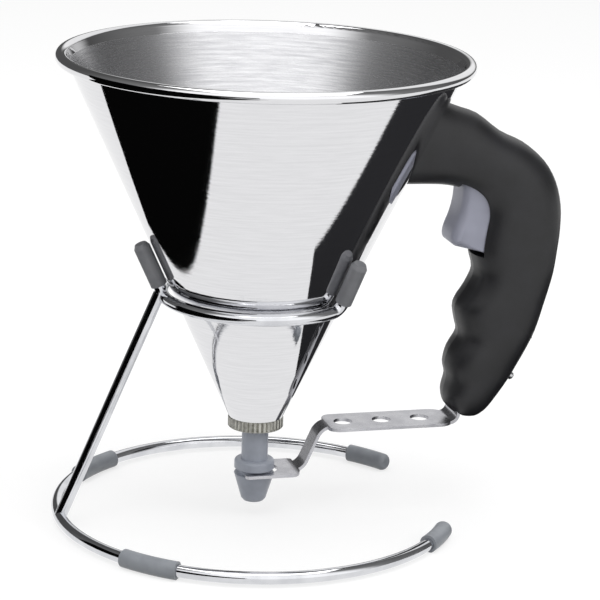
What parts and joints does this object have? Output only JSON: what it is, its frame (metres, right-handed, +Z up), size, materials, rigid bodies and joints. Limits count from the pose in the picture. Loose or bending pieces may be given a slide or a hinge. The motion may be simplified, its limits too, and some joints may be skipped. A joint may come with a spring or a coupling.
{
  "type": "batter dispenser",
  "caption": "Conical steel funnel with a pistol handle, whose trigger and lever draw a nozzle sleeve down to pour batter, standing in a wire cradle.",
  "frame": {"origin": "on the table, under the middle of the object's outline from above", "axes": "+X from the spout to the handle, +Z up, Y across; the feet rest on Z = 0"},
  "size_m": [0.1896, 0.1502, 0.1736],
  "materials": {
    "stand_wire": "bright chromed wire",
    "grey_rubber": "satin grey rubber",
    "dark_rubber": "satin dark grey rubber",
    "polished_steel": "mirror-polished outside, brushed round inside",
    "nut_steel": "satin, ribbed",
    "white_silicone": "matt silicone",
    "grey_plastic": "satin blue-grey",
    "black_seal": "matt black",
    "lever_steel": "satin, tumbled",
    "charcoal_plastic": "fine moulded grain, charcoal",
    "fastener_steel": "plain",
    "trigger_plastic": "satin light blue-grey",
    "spring_steel": "drawn wire"
  },
  "bodies": {
    "stand": {"base_ring": "stand_wire", "leg_wire": "stand_wire", "cradle_ring": "stand_wire", "foot_sleeve_front": "grey_rubber", "foot_sleeve_back": "grey_rubber", "end_cap_front": "grey_rubber", "end_cap_back": "grey_rubber", "prong_sleeve_leg": "dark_rubber", "prong_sleeve_front": "dark_rubber", "prong_sleeve_back": "dark_rubber"},
    "funnel": {"funnel_cone": "polished_steel", "outlet_neck": "polished_steel", "spout_gasket": "white_silicone", "spout_tube": "grey_plastic", "spout_plug": "white_silicone", "handle_bracket": "polished_steel", "handle_shell_front": "charcoal_plastic", "handle_shell_back": "charcoal_plastic", "handle_screws": "fastener_steel", "grip_peg": "fastener_steel", "trigger_pin": "fastener_steel", "return_spring": "spring_steel", "spring_seat": "fastener_steel"},
    "nut": {"ring_nut": "nut_steel"},
    "trigger_lever": {"trigger": "trigger_plastic"},
    "lever": {"blade": "lever_steel", "blade_slider": "grey_plastic", "slider_rivets": "lever_steel"},
    "nozzle": {"nozzle_sleeve": "grey_plastic", "nozzle_seal": "black_seal"}
  },
  "joints": [
    {"name": "funnel_lift", "type": "slide", "parent": "stand", "child": "funnel", "axis": [0, 0, 1], "range_m": [0, 0.13]},
    {"name": "nut_turn", "type": "hinge", "parent": "funnel", "child": "nut", "pos_m": [-0.01964, 0, 0.0364], "axis": [0, 0, 1], "range_deg": [-360, 0]},
    {"name": "trigger_pull", "type": "hinge", "parent": "funnel", "child": "trigger_lever", "pos_m": [0.05936, 0, 0.131], "axis": [0, -1, 0], "range_deg": [0, 12], "stiffness_Nm_per_rad": 0.1, "springref_deg": -28.65},
    {"name": "lever_slide", "type": "slide", "parent": "funnel", "child": "lever", "axis": [0, 0, -1], "range_m": [0, 0.0045], "deforming": ["return_spring"]},
    {"name": "nozzle_slide", "type": "slide", "parent": "funnel", "child": "nozzle", "axis": [0, 0, -1], "range_m": [0, 0.0045]}
  ],
  "couplings": [
    {"joint": "lever_slide", "follows": "trigger_pull", "m_per_rad": 0.02148},
    {"joint": "nozzle_slide", "follows": "trigger_pull", "m_per_rad": 0.02148}
  ]
}
